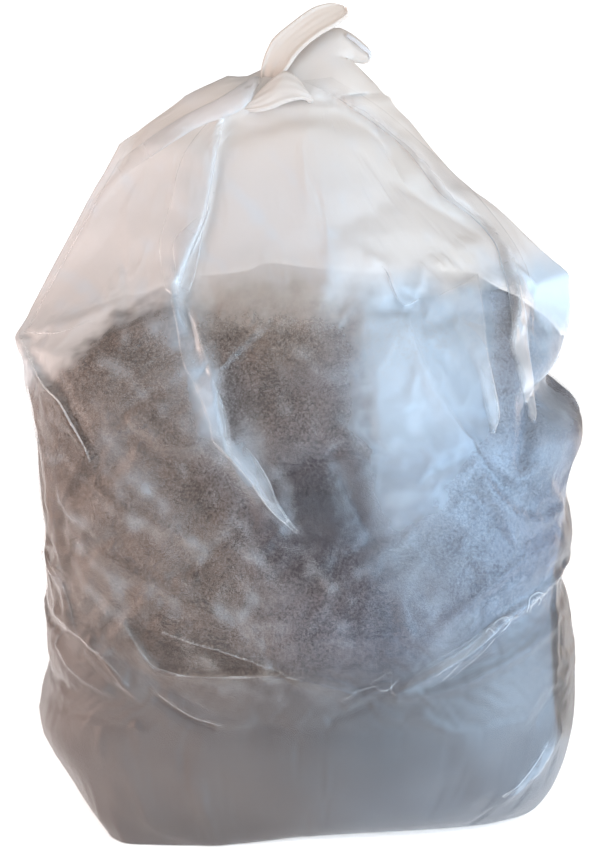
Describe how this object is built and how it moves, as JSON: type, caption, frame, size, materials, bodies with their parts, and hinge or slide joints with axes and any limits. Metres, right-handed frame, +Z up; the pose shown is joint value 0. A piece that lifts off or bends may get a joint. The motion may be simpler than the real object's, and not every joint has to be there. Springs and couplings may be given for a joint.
{
  "type": "bag of cement mix",
  "caption": "Knotted translucent plastic film bag, slack above and packed below, holding dry grey cement mix and standing on its flat base.",
  "frame": {"origin": "on the floor, under the middle of the bag's box", "axes": "+Z up through the knot, +X along the bag's width to the right as seen from its front, -Y towards the front"},
  "size_m": [0.1664, 0.0996, 0.2408],
  "materials": {
    "film": "milky translucent polyethylene film, soft gloss, creased and pleated, slightly dusty inside",
    "cement": "dry fine grey powder, matt, with a darker and browner grain where it doesn't press on the film"
  },
  "bodies": {
    "root": {"bag_film": "film", "cement_mix": "cement"}
  },
  "joints": []
}
